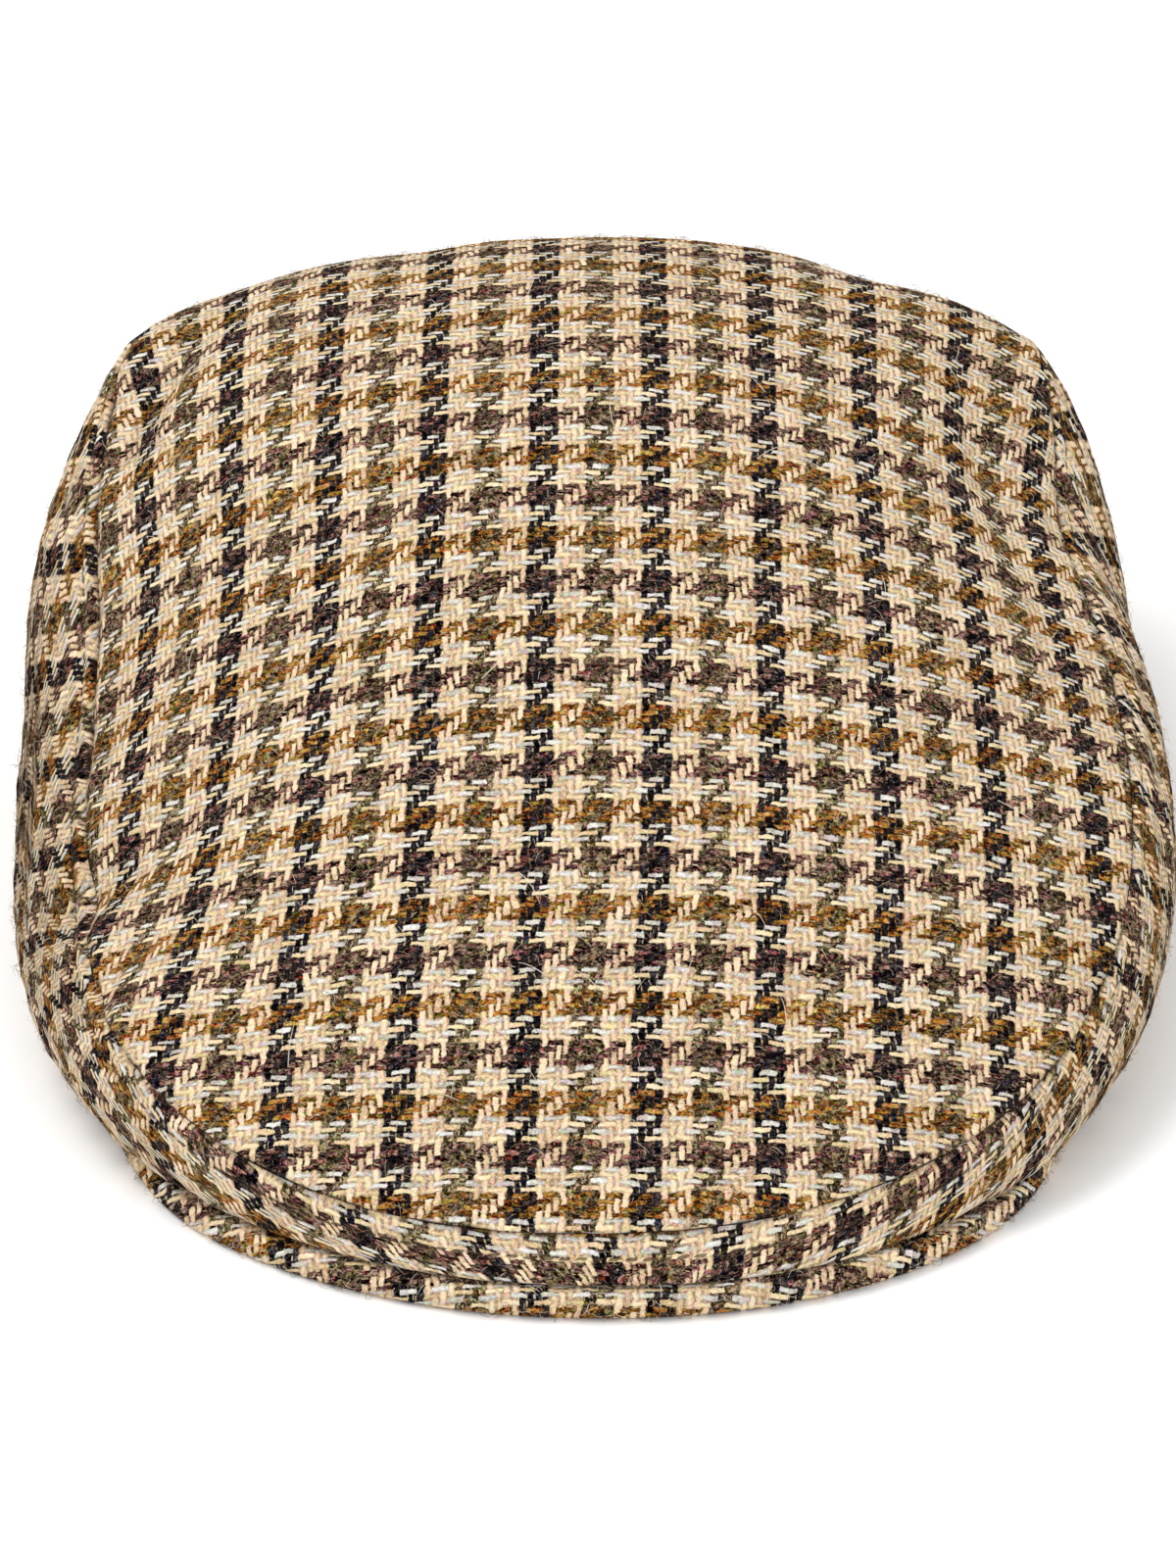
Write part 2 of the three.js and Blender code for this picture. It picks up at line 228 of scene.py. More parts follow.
# The band's shape is needed here too, because the two share their directions at the seam
LOW_Y, RIM_HALF_WIDTH, OVER_PEAK_HALF_WIDTH, LOW_FRONT, LOW_BACK = -21.9, 93.7, 104.0, 116.8, 138.0
LOW_FRONT_ROUND, LOW_BACK_ROUND = 2.1, 2.2
PEAK_ASIDE = 3.0
PEAK_THICK, PEAK_CORNER_THICK = 4.9, 1.4
PEAK_CORNER, PEAK_FULL, PEAK_LIFT_OVER = 0.2, 0.75, 0.03
ANGLE_STEP = 0.01

# leave, out: degrees below level at the seam and how far it holds; enter, up: above the edge
BAND_FALL = table("angle leave out enter up", [
    (0, 50, 2.5, 45, 2.5),
    (35, 50, 5.9, 45, 3.9),
    (60, 52, 5, 54, 26),
    (90, 29, 17, 60, 34.5),
    (125, 54, 34, 68, 36),
    (155, 66, 22, 76, 26),
    (180, 78, 22, 78, 24),
])


def smooth(x, low, high):
    """0 below low, 1 above high, and 3t^2 - 2t^3 between."""
    t = np.clip((x - low) / (high - low), 0, 1)
    return t * t * (3 - 2 * t)


def peak_thickness(angle):
    """Thin at the corners and full over the front."""
    share = smooth(-np.sin(angle), PEAK_CORNER, PEAK_FULL)
    return PEAK_CORNER_THICK + (PEAK_THICK - PEAK_CORNER_THICK) * share


def unit(ways):
    """Directions of length one: each divided by the root of the sum of its squares."""
    return ways / np.linalg.norm(ways, axis=-1, keepdims=True)


def lower_edge(angle, outwards=0.0):
    """The band's lower edge: a half oval over the peak, another round the head, and a lift on
    to the peak in front of its corners."""

    def place(a):
        s = np.sin(a)
        rounding = 2 / np.where(s < 0, LOW_FRONT_ROUND, LOW_BACK_ROUND)
        forward = np.maximum(-s, 0)
        width = RIM_HALF_WIDTH + (OVER_PEAK_HALF_WIDTH - RIM_HALF_WIDTH) * forward
        x = width * power(np.cos(a), rounding) + PEAK_ASIDE * forward**2
        return np.stack([x, LOW_Y + np.where(s < 0, LOW_FRONT, LOW_BACK) * power(s, rounding)], -1)

    way = unit(place(angle + ANGLE_STEP) - place(angle - ANGLE_STEP))
    here = place(angle) + np.stack([way[..., 1], -way[..., 0]], -1) * np.expand_dims(outwards, -1)
    on_peak = smooth(-np.sin(angle), PEAK_CORNER - PEAK_LIFT_OVER, PEAK_CORNER + PEAK_LIFT_OVER)
    lift = (peak_thickness(angle) + SEAM_GAP) * on_peak
    return np.concatenate([here, lift[..., None]], -1)


def outward(angle):
    """Level direction square to the line half way between the seam and the lower edge."""
    beside = angle + ANGLE_STEP, angle - ANGLE_STEP
    middle = [top_point(*top_cut(a)) + lower_edge(a) for a in beside]
    way = unit((middle[0] - middle[1])[..., :2])
    return np.stack([way[..., 1], -way[..., 0], np.zeros_like(angle)], -1)


def band_point(angle, fall):
    """A cubic Bezier from the seam to the lower edge, leaving and entering as the table says."""
    turned = np.degrees(angle + np.pi / 2) % 360
    turned = np.where(turned > 180, 360 - turned, turned)
    out = outward(angle)
    leave, enter = (np.radians(read(BAND_FALL, n, turned))[..., None] for n in ("leave", "enter"))
    reach_out, reach_up = (read(BAND_FALL, n, turned)[..., None] for n in ("out", "up"))
    up = np.array([0.0, 0.0, 1.0])
    seam = top_point(*top_cut(angle))
    edge = lower_edge(angle)
    first = seam + reach_out * (out * np.cos(leave) - up * np.sin(leave))
    second = edge + reach_up * (out * np.cos(enter) + up * np.sin(enter))
    t = fall[..., None]
    ends = (1 - t) ** 3 * seam + t**3 * edge
    return ends + 3 * (1 - t) ** 2 * t * first + 3 * (1 - t) * t * t * second


def ring_normals(grid):
    """Outward directions of rings that run down and out: down the grid times round the ring."""
    down = np.empty_like(grid)
    down[1:-1] = grid[2:] - grid[:-2]
    down[0] = grid[1] - grid[0]
    down[-1] = grid[-1] - grid[-2]
    around = np.roll(grid, -1, 1) - np.roll(grid, 1, 1)
    return unit(np.cross(down, around))


# The grids: their rings crowd towards the seam, and the inner wall has one ring in four
AROUND, TOP_RINGS, BAND_RINGS = 448, 120, 64
TOP_CROWDING, BAND_CROWDING = 1.5, 1.35
INNER_EVERY = 4
angles = np.pi / 2 + np.linspace(0, 2 * np.pi, AROUND, endpoint=False)
shares = 1 - (1 - np.arange(1, TOP_RINGS + 1) / TOP_RINGS) ** TOP_CROWDING
cut_across, cut_along = top_cut(angles)
top_across = shares[:, None] * cut_across
top_along = CUT_FRONT + shares[:, None] * (cut_along - CUT_FRONT)
top_form = top_point(top_across, top_along)
falls = (np.arange(1, BAND_RINGS + 1) / BAND_RINGS) ** BAND_CROWDING
band_form = band_point(np.broadcast_to(angles, (BAND_RINGS, AROUND)), falls[:, None] + 0 * angles)
form_normals = ring_normals(np.concatenate([top_form, band_form]))
top_normals = form_normals[:TOP_RINGS]
seam_ring = top_form[-1]


def along_grid(grid):
    """Distance down a grid from its first ring, for each point."""
    steps = np.linalg.norm(np.diff(grid, axis=0), axis=-1)
    return np.concatenate([np.zeros((1, grid.shape[1])), np.cumsum(steps, 0)])


def unevenness(u, v, size):
    """Soft lumps: three crossed waves about size apart, from -1 to 1."""
    waves = np.sin(u / size * 6.1 + 1.3 * np.sin(v / size * 3.3 + 0.7))
    waves = waves + np.sin(v / size * 5.3 + 1.9 + 1.1 * np.sin(u / size * 3.9 + 2.1))
    return (waves + np.sin((u + v) / size * 4.1 + 4.2)) / 3


# The roll of the cloth into the seam is flatter over the peak and at the right
SEAM_ROLL_DEEP, SEAM_ROLL_WIDE = 1.0, 1.4
ROLL_FLATTER_AT_FRONT, ROLL_FLATTER_AT_RIGHT = 0.65, 0.4
FRONT_STARTS, FRONT_FULL = 0.45, 0.85
RIGHT_STARTS, RIGHT_FULL = 0.3, 0.8

# Lumps of the cloth: how high, how far apart, and within what distance of the seam
WAVES_HIGH, WAVES_APART, WAVES_FULL_AT = 0.35, 55, 15
PUCKERS_HIGH, PUCKERS_APART, PUCKERS_DRAWN_OUT, PUCKERS_WITHIN = 0.55, 26, 0.35, 9
LUMPS_HIGH, LUMPS_APART, LUMPS_WITHIN = 0.22, 11, 7
GRAIN_HIGH, GRAIN_APART = 0.10, 17
BURLS_HIGH, BURLS_APART, BURLS_WITHIN = 0.20, 6.5, 4

to_seam = along_grid(top_form)
to_seam = to_seam[-1] - to_seam
seam_steps = np.linalg.norm(np.roll(seam_ring, -1, 0) - seam_ring, axis=-1)
round_closed = np.concatenate([[0], np.cumsum(seam_steps)])
round_seam = round_closed[:-1]
round_top = round_seam + 0 * to_seam
puckers = unevenness(round_top, to_seam * PUCKERS_DRAWN_OUT, PUCKERS_APART)
puckers = puckers * np.exp(-to_seam / PUCKERS_WITHIN)
top_relief = WAVES_HIGH * unevenness(top_across, top_along, WAVES_APART) * smooth(to_seam, 0, WAVES_FULL_AT)
top_relief += PUCKERS_HIGH * puckers - fold_depth(top_across, top_along)
lumps = LUMPS_HIGH * unevenness(round_top, to_seam, LUMPS_APART) * np.exp(-to_seam / LUMPS_WITHIN)
top_relief += lumps + GRAIN_HIGH * unevenness(top_along, top_across, GRAIN_APART)
top_relief += BURLS_HIGH * unevenness(round_top, to_seam, BURLS_APART) * np.exp(-to_seam / BURLS_WITHIN)
at_front = smooth(-np.sin(angles), FRONT_STARTS, FRONT_FULL)
at_right = smooth(np.cos(angles), RIGHT_STARTS, RIGHT_FULL)
flatter = 1 - ROLL_FLATTER_AT_FRONT * at_front - ROLL_FLATTER_AT_RIGHT * at_right * (1 - at_front)
seam_deep = SEAM_ROLL_DEEP * flatter
top_relief -= seam_deep * bell(to_seam, SEAM_ROLL_WIDE)
top_outer = top_form + top_normals * top_relief[..., None]
inwards = top_form[-3] - top_form[-1]
top_outer[-1] += inwards * (SEAM_GAP / 2 / np.linalg.norm(inwards, axis=-1, keepdims=True))


def ring_faces(rings, around, start, flip):
    """Quads between neighbouring rings, and for each corner its ring and its place round it,
    which runs on to the number round at the closing column."""
    k, i = np.meshgrid(np.arange(rings - 1), np.arange(around), indexing="ij")
    ring = np.stack([k, k + 1, k + 1, k], -1).reshape(-1, 4)
    place = np.stack([i, i, i + 1, i + 1], -1).reshape(-1, 4)
    if flip:
        ring, place = ring[:, ::-1], place[:, ::-1]
    return start + ring * around + place % around, ring * (around + 1) + place


def set_map(mesh, name, corner_uv):
    """A named map from two numbers for each corner of each face."""
    mesh.uv_layers.new(name=name).data.foreach_set("uv", corner_uv.reshape(-1))


def cloth_object(name, outer, inner, outer_uv, inner_uv, poles):
    """A closed wall of cloth from an outer and an inner stack of rings, joined at their last
    ring, and at their first ring or in two poles. The maps have one column more than the rings:
    threads holds the cloth's own place in repeats of its check, seam the mm round and from it."""
    around = outer.shape[1]
    places = [outer.reshape(-1, 3), inner.reshape(-1, 3)]
    uv_list = [outer_uv.reshape(-1, 4), inner_uv.reshape(-1, 4)]
    n_out, uv_out = len(places[0]), len(uv_list[0])
    faces, corners = [], []
    for grid, start, uv_start, flip in ((outer, 0, 0, False), (inner, n_out, uv_out, True)):
        quads, uv_index = ring_faces(len(grid), around, start, flip)
        faces.append(quads)
        corners.append(uv_index + uv_start)
    ends = [(len(outer) - 1, len(inner) - 1, False)]
    if poles is None:
        ends.append((0, 0, True))
    i = np.arange(around)
    for out_ring, in_ring, flip in ends:
        a, b = out_ring * around, n_out + in_ring * around
        quads = np.stack([a + i, b + i, b + (i + 1) % around, a + (i + 1) % around], -1)
        ua, ub = out_ring * (around + 1), uv_out + in_ring * (around + 1)
        uv_index = np.stack([ua + i, ub + i, ub + i + 1, ua + i + 1], -1)
        faces.append(quads[:, ::-1] if flip else quads)
        corners.append(uv_index[:, ::-1] if flip else uv_index)
    face_list = np.concatenate(faces).tolist()
    corner_list = np.concatenate(corners).reshape(-1).tolist()
    if poles is not None:
        tips, tip_uv = poles
        n, n_uv = n_out + len(places[1]), uv_out + len(uv_list[1])
        places.append(np.array(tips))
        uv_list.append(np.array([tip_uv, tip_uv]))
        nxt = (i + 1) % around
        out_fan = np.stack([0 * i + n, i, nxt], -1)
        in_fan = np.stack([0 * i + n + 1, n_out + nxt, n_out + i], -1)
        face_list += out_fan.tolist() + in_fan.tolist()
        out_uv = np.stack([0 * i + n_uv, i, i + 1], -1)
        in_uv = np.stack([0 * i + n_uv + 1, uv_out + i + 1, uv_out + i], -1)
        corner_list += out_uv.reshape(-1).tolist() + in_uv.reshape(-1).tolist()
    mesh = bpy.data.meshes.new(name)
    mesh.from_pydata((np.concatenate(places) - FOOT_CENTRE) * MM, [], face_list)
    corner_uv = np.concatenate(uv_list)[corner_list]
    set_map(mesh, "threads", corner_uv[:, :2])
    set_map(mesh, "seam", corner_uv[:, 2:])
    mesh.shade_smooth()
    piece = placed(name, mesh)
    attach(piece, "root")
    return piece


THREAD, THREADS_IN_REPEAT = 1.3125, 16
REPEAT = THREADS_IN_REPEAT * THREAD
CHECK_ACROSS, CHECK_ALONG = 6.44 / THREADS_IN_REPEAT, -16.31 / REPEAT
FAR_FROM_SEAM = 99


def closed(grid):
    """The grid with its first column again at the end."""
    return np.concatenate([grid, grid[:, :1]], 1)


# The cloth is drawn a little to one side towards the front, and its check with it
CHECK_PULL = table("along aside", [(0, 2.6), (45, 1.9), (80, 0.3), (130, -0.3), (220, -0.6), (300, -0.6)])
pulled = top_across + read(CHECK_PULL, "aside", top_along)
top_uv = closed(np.stack([
    pulled / REPEAT + CHECK_ACROSS, top_along / REPEAT + CHECK_ALONG,
    round_top, to_seam], -1))
top_uv[:, -1, 2] = round_closed[-1]
keep = np.r_[0:TOP_RINGS:INNER_EVERY, TOP_RINGS - 1]
top_inner = (top_outer - CLOTH * top_normals)[keep]
centre = top_point(np.zeros(1), np.full(1, CUT_FRONT))[0]
centre_normal = top_normals[0].mean(0)
top_poles = [centre, centre - CLOTH * centre_normal]
top_panel = cloth_object(
    "top_cloth", top_outer, top_inner, top_uv, top_uv[keep],
    (top_poles, (CHECK_ACROSS, CUT_FRONT / REPEAT + CHECK_ALONG, 0, FAR_FROM_SEAM)))
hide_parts("top_panel")

# The cloth is a gun club check in two-and-two twill, four threads to a stripe. Its warp, front
# to back, runs navy, cream, olive and cream. Its weft runs plum, cream, rust and cream, and
# every other pick of the cream weft is pale grey. The dark yarns are rough, flecked and hairy.

NAVY = [(0.0, (0.0003, 0.0003, 0.0008)), (0.4, (0.001, 0.0014, 0.005)), (0.75, (0.009, 0.009, 0.021)),
        (1.0, (0.075, 0.070, 0.080))]
OLIVE = [(0.0, (0.004, 0.002, 0.001)), (0.35, (0.044, 0.026, 0.010)), (0.7, (0.25, 0.165, 0.078)),
         (1.0, (0.60, 0.46, 0.27))]
PLUM = [(0.0, (0.002, 0.0005, 0.0008)), (0.35, (0.022, 0.006, 0.008)), (0.7, (0.18, 0.056, 0.054)),
        (1.0, (0.50, 0.28, 0.22))]
RUST = [(0.0, (0.004, 0.002, 0.001)), (0.28, (0.065, 0.017, 0.004)), (0.45, (0.26, 0.070, 0.010)),
        (0.62, (0.56, 0.21, 0.020)), (0.8, (0.32, 0.19, 0.045)), (1.0, (0.84, 0.60, 0.24))]
CREAM = [(0.0, (0.37, 0.21, 0.11)), (0.45, (0.73, 0.54, 0.34)), (1.0, (0.96, 0.79, 0.58))]
BUTTER = [(0.0, (0.39, 0.26, 0.12)), (0.45, (0.74, 0.57, 0.33)), (1.0, (0.97, 0.83, 0.59))]
GREY = [(0.0, (0.26, 0.23, 0.18)), (0.45, (0.60, 0.56, 0.49)), (1.0, (0.88, 0.87, 0.82))]
FLECK_GREEN, FLECK_RED = (0.17, 0.155, 0.020), (0.42, 0.050, 0.016)
HAIR_PALE, HAIR_GOLD = (0.58, 0.44, 0.30), (0.80, 0.40, 0.04)
# Painted shade: the brown that the colour in the hollows between and beside yarns is multiplied by
HOLLOW_SHADE_BROWN = (0.24, 0.14, 0.075)

# Yarns, in threads: how far they stray and fray and hairs curl; how slim each set is, and a dark
# yarn next to a pale one; the wave, the drop beside a yarn, its lean, and how its girth varies
STRAY, FRAY, HAIR_CURL = 1.6, 0.45, 1.5
WARP_SLIM, WEFT_SLIM, DARK_SLIM = 1.34, 1.40, 0.87
WAVE_HIGH, DROP_BESIDE, FLOAT_LEAN, SLIMMER, THICKER = 0.75, 1.2, 0.06, 0.2, 0.15
EDGE_FUZZ, EDGE_SOFT = 1.6, 0.3

# The tone of a dark yarn, and of a pale one, is a sum of these shares, which runs over its ramp
# from start to end. Rust takes a share of the dark tone, blotches and a drift of the dye.
TWIST_SHARE, FUZZ_SHARE, DIM_HAIR_SHARE, CLUMP_SHARE, LUCK_SHARE = 0.2, 0.50, 0.35, 0.75, 0.4
TONE_START, TONE_END = 0.75, 1.75
PALE_TWIST, PALE_LUCK, PALE_FUZZ, PALE_START, PALE_END = 0.45, 0.3, 0.35, 0.2, 0.9
RUST_TONE, RUST_BLOTCH, RUST_DRIFT = 0.75, 0.3, 0.12
RED_IN_PLUM, GREEN_IN_OLIVE, GOLD_IN_RUST = 0.5, 0.6, 0.7
DYE_CONTRAST, DYE_OFFSET = 2.6, -0.8

# Hairs: the way they lie in degrees, a seed, how fine they are and how thin. Their noise is
# scaled along and across them.
HAIR_STRETCH = 0.36, 1.5
LIGHT_HAIRS = table("turn seed fine thin", [(20, 3, 1, 0.03), (78, 11, 0.95, 0.03), (135, 23, 1.1, 0.03)])
DIM_HAIRS = table("turn seed fine thin", [(165, 41, 1.7, 0.08), (48, 57, 1.7, 0.08)])

# How much painted shade shows in the hollows, how much of the dyes and the hairs shows, and how high each
# thing is raised
HOLLOW_SHADE_PALE, HOLLOW_SHADE_DARK, DYE_PALE, DYE_DARK = 0.50, 0.80, 0.22, 0.55
HAIRS_PALE, HAIRS_DARK, HAIRS_NAVY = 0.06, 1.0, 0.22
RAISED_DARK, RAISED_PALE, RAISED_STRAND, RAISED_HAIR, RAISED_FUZZ = 0.4, 0.6, 0.3, 0.4, 0.5


def feed(tree, slot, value):
    """A node's input from a Reckoner's number, another node's socket, or a plain value."""
    if isinstance(value, Reckoner):
        tree.links.new(value.socket, slot)
    elif isinstance(value, bpy.types.NodeSocket):
        tree.links.new(value, slot)
    else:
        slot.default_value = value


def new_node(tree, kind, *values, **settings):
    """A node of a kind with its settings, whose first inputs take the values in turn."""
    node = tree.nodes.new("ShaderNode" + kind)
    for name, value in settings.items():
        setattr(node, name, value)
    for slot, value in zip(node.inputs, values):
        feed(tree, slot, value)
    return node


class Reckoner:
    """A number in a node tree. Sums of it add the Math nodes that work them out."""

    def __init__(self, tree, socket):
        self.tree, self.socket = tree, socket

    def work(self, operation, *others):
        """This number and the others, put through a Math node's operation."""
        node = new_node(self.tree, "Math", self, *others, operation=operation)
        return Reckoner(self.tree, node.outputs[0])

    __add__ = partialmethod(work, "ADD")
    __sub__ = partialmethod(work, "SUBTRACT")
    __mul__ = partialmethod(work, "MULTIPLY")
    __truediv__ = partialmethod(work, "DIVIDE")
    __mod__ = partialmethod(work, "FLOORED_MODULO")
    __pow__ = partialmethod(work, "POWER")
    under = partialmethod(work, "LESS_THAN")
    over = partialmethod(work, "GREATER_THAN")
    most = partialmethod(work, "MAXIMUM")
    floor = partialmethod(work, "FLOOR")
    size = partialmethod(work, "ABSOLUTE")

    def choose(self, on, off):
        """on where this is 1, off where it is 0."""
        return self * on + (self * -1 + 1) * off

    def within(self, low, high, start=0.0, end=1.0):
        """start below low, end above high, and an even slope between."""
        node = new_node(self.tree, "MapRange", self, low, high, start, end)
        return Reckoner(self.tree, node.outputs[0])


def joined(tree, x, y, z=0.0):
    """Three numbers as one vector socket."""
    return new_node(tree, "CombineXYZ", x, y, z).outputs[0]


def parts(tree, socket, kind="SeparateXYZ"):
    """The first two numbers of a vector, or of a colour."""
    node = new_node(tree, kind, socket)
    return [Reckoner(tree, node.outputs[n]) for n in (0, 1)]


def times_plus(tree, vector, times, plus):
    """A vector times another, plus a third."""
    return new_node(tree, "VectorMath", vector, times, plus, operation="MULTIPLY_ADD").outputs[0]


def noise(tree, vector, scale, detail=2.0, rough=0.5):
    """Smooth noise, mostly from 0.3 to 0.7."""
    return Reckoner(tree, new_node(tree, "TexNoise", vector, 0.0, scale, detail, rough).outputs["Fac"])


def noise_colour(tree, vector, scale, detail, rough):
    """Three smooth noises as a colour."""
    return new_node(tree, "TexNoise", vector, 0.0, scale, detail, rough).outputs["Color"]


def chance(tree, x, y):
    """A random number from 0 to 1 that belongs to two whole numbers."""
    return Reckoner(tree, new_node(tree, "TexWhiteNoise", joined(tree, x, y)).outputs[0])


def mixed(tree, share, a, b, blend="MIX"):
    """Colour a turning to colour b by a share. Each colour is a socket or three numbers."""
    node = new_node(tree, "Mix", share, data_type="RGBA", blend_type=blend)
    for slot, value in ((6, a), (7, b)):
        feed(tree, node.inputs[slot], (*value, 1) if isinstance(value, tuple) else value)
    return node.outputs[2]


def heather(tree, tone, stops):
    """The colour that a blend of dyed wools has at a tone from 0 to 1."""
    node = new_node(tree, "ValToRGB", tone)
    ramp = node.color_ramp
    while len(ramp.elements) < len(stops):
        ramp.elements.new(0.5)
    for element, (place, colour) in zip(ramp.elements, stops):
        element.position = place
        element.color = (*colour, 1)
    return node.outputs[0]


def pick(tree, which, colours):
    """The colour for a whole number from 0 up."""
    chosen = colours[0]
    for n, colour in enumerate(colours[1:], 1):
        chosen = mixed(tree, which.over(n - 0.5), chosen, colour)
    return chosen


def node_group(name, inputs, outputs):
    """A node group with named sockets of the given kinds, and its input and output nodes."""
    group = bpy.data.node_groups.new(name, "ShaderNodeTree")
    for in_out, sockets in (("INPUT", inputs), ("OUTPUT", outputs)):
        for label, kind in sockets:
            group.interface.new_socket(label, in_out=in_out, socket_type="NodeSocket" + kind)
    return group, group.nodes.new("NodeGroupInput"), group.nodes.new("NodeGroupOutput")


weave, weave_in, weave_out = node_group(
    "gun_club_twill", [("Threads", "Vector")], [("Colour", "Color"), ("Height", "Float")])

# Threads wander a little from their straight lines
repeats = parts(weave, weave_in.outputs["Threads"])
wander = parts(weave, noise_colour(weave, weave_in.outputs["Threads"], 3.5, 2, 0.6), "SeparateColor")
u, v = (repeats[n] * THREADS_IN_REPEAT + (wander[n] - 0.5) * STRAY for n in (0, 1))
frayed = parts(weave, noise_colour(weave, joined(weave, u, v), 2.6, 2, 0.6), "SeparateColor")
u, v = u + (frayed[0] - 0.5) * FRAY, v + (frayed[1] - 0.5) * FRAY
warp_index, weft_index = u.floor(), v.floor()
warp_stripe, weft_stripe = (((n + 2) / 4).floor() % 4 for n in (warp_index, weft_index))
place = joined(weave, u, v)


def yarn_height(across, along, index, other_start, stripe, slim):
    """How far a yarn stands proud and how far aside of its middle: a round back, on a wave of 4."""
    beat = (along - index + other_start) % 4
    thick = noise(weave, joined(weave, along * 0.4, index * 3.7, other_start), 1.0, 2)
    aside = (across - index) * 2 - 1
    aside = (aside + (beat - 1) * FLOAT_LEAN) * thick.within(0.3, 0.7, slim + SLIMMER, slim - THICKER)
    aside = aside * ((stripe % 2) * (1 - DARK_SLIM) + DARK_SLIM)
    back = (aside * aside * -1 + 1).most(0.0) ** 0.5
    wave = (beat * (math.pi / 2)).work("SINE") * WAVE_HIGH
    return wave + back + aside.size().over(1.0) * -DROP_BESIDE, aside


# Each yarn floats over two and under two, one step aside of its neighbour, and the higher shows
warp_height, warp_aside = yarn_height(u, v, warp_index, 1, warp_stripe, WARP_SLIM)
weft_height, weft_aside = yarn_height(v, u, weft_index, -2, weft_stripe, WEFT_SLIM)
warp_on_top = warp_height.over(weft_height)
height = warp_height.most(weft_height)
side = warp_on_top.choose(warp_aside, weft_aside)
number = warp_on_top.choose(warp_index, weft_index + 300)
length = warp_on_top.choose(v, u)

# Fibres: each yarn's own twisted strands, and hairs that curl over several yarns
twist = joined(weave, length * 0.9 + side * 0.8, side * 1.3 - length * 0.4, number * 5)
strand = noise(weave, twist, 2.0, 3, 0.6)
curled = times_plus(weave, noise_colour(weave, place, 1.3, 1, 0.5), (HAIR_CURL, HAIR_CURL, 0), place)


def hairs(turn, seed, fine, thin):
    """Curling hairs that lie mostly one way: the level lines of a drawn-out noise, broken up."""
    way, scale = (0, 0, math.radians(turn)), (*(stretch * fine for stretch in HAIR_STRETCH), 1)
    lie = new_node(weave, "Mapping", curled, (seed, seed * 0.7, seed), way, scale).outputs[0]
    line = (noise(weave, lie, 1.0, 0.0) - 0.5).size().within(0, thin, 1, 0)
    return line * noise(weave, lie, 2.1, 0.0).within(0.38, 0.52)


light_hairs, dim_hairs = (
    reduce(Reckoner.most, [hairs(*row) for row in rows]) for rows in (LIGHT_HAIRS, DIM_HAIRS))
fuzz = noise(weave, place, 2.4, 3, 0.75)
strand_tone = strand.within(0.30, 0.70)
clump = noise(weave, place, 1.0, 2, 0.6).within(0.40, 0.58)
tone = strand_tone * TWIST_SHARE + fuzz.within(0.43, 0.57) * FUZZ_SHARE + dim_hairs * DIM_HAIR_SHARE
luck = chance(weave, number, (length / 4).floor())
tone = (tone + clump * CLUMP_SHARE + luck * LUCK_SHARE).within(TONE_START, TONE_END)

# Colours of the two sets of yarn
blotch = noise(weave, joined(weave, u * 0.55, v * 0.9), 1.0, 3, 0.6).within(0.3, 0.7)
pale_tone = strand_tone * PALE_TWIST + luck * PALE_LUCK + fuzz.within(0.35, 0.65) * PALE_FUZZ
pale_tone = pale_tone.within(PALE_START, PALE_END)
navy, olive = heather(weave, tone, NAVY), heather(weave, tone, OLIVE)
plum = heather(weave, tone, PLUM)
drift = noise(weave, joined(weave, u * 0.05, v * 0.16), 1.0, 2).within(0.35, 0.65, -RUST_DRIFT, RUST_DRIFT)
rust = heather(weave, (tone * RUST_TONE + blotch * RUST_BLOTCH + drift).within(0.05, 0.95), RUST)
green_fleck = noise(weave, joined(weave, u * 0.7, v * 1.6, 4.0), 1.2, 3, 0.65).within(0.57, 0.63)
red_fleck = noise(weave, joined(weave, u * 0.8, v * 1.6, 9.0), 1.3, 3, 0.65).within(0.62, 0.66)
rust = mixed(weave, red_fleck, mixed(weave, green_fleck, rust, FLECK_GREEN), FLECK_RED)
plum = mixed(weave, red_fleck * RED_IN_PLUM, plum, FLECK_RED)
olive = mixed(weave, green_fleck * GREEN_IN_OLIVE, olive, FLECK_GREEN)
cream, grey = heather(weave, pale_tone, CREAM), heather(weave, pale_tone, GREY)
pale_weft = mixed(weave, (weft_index % 2).over(0.5), heather(weave, pale_tone, BUTTER), grey)
warp_colour = pick(weave, warp_stripe, [navy, cream, olive, cream])
weft_colour = pick(weave, weft_stripe, [plum, pale_weft, rust, pale_weft])
wool_edge = (warp_height - weft_height + (fuzz - 0.5) * EDGE_FUZZ).within(-EDGE_SOFT, EDGE_SOFT)
yarn = mixed(weave, wool_edge, weft_colour, warp_colour)

# Pale yarns are smooth and proud, with painted brown shade in the hollows between and beside them, weaker
# than on dark ones. Dark ones are hairy all over.
pale = wool_edge.choose(warp_stripe % 2, weft_stripe % 2)
dark = pale * -1 + 1
golden = warp_on_top.choose(0.0, (weft_stripe - 2).size().under(0.5))
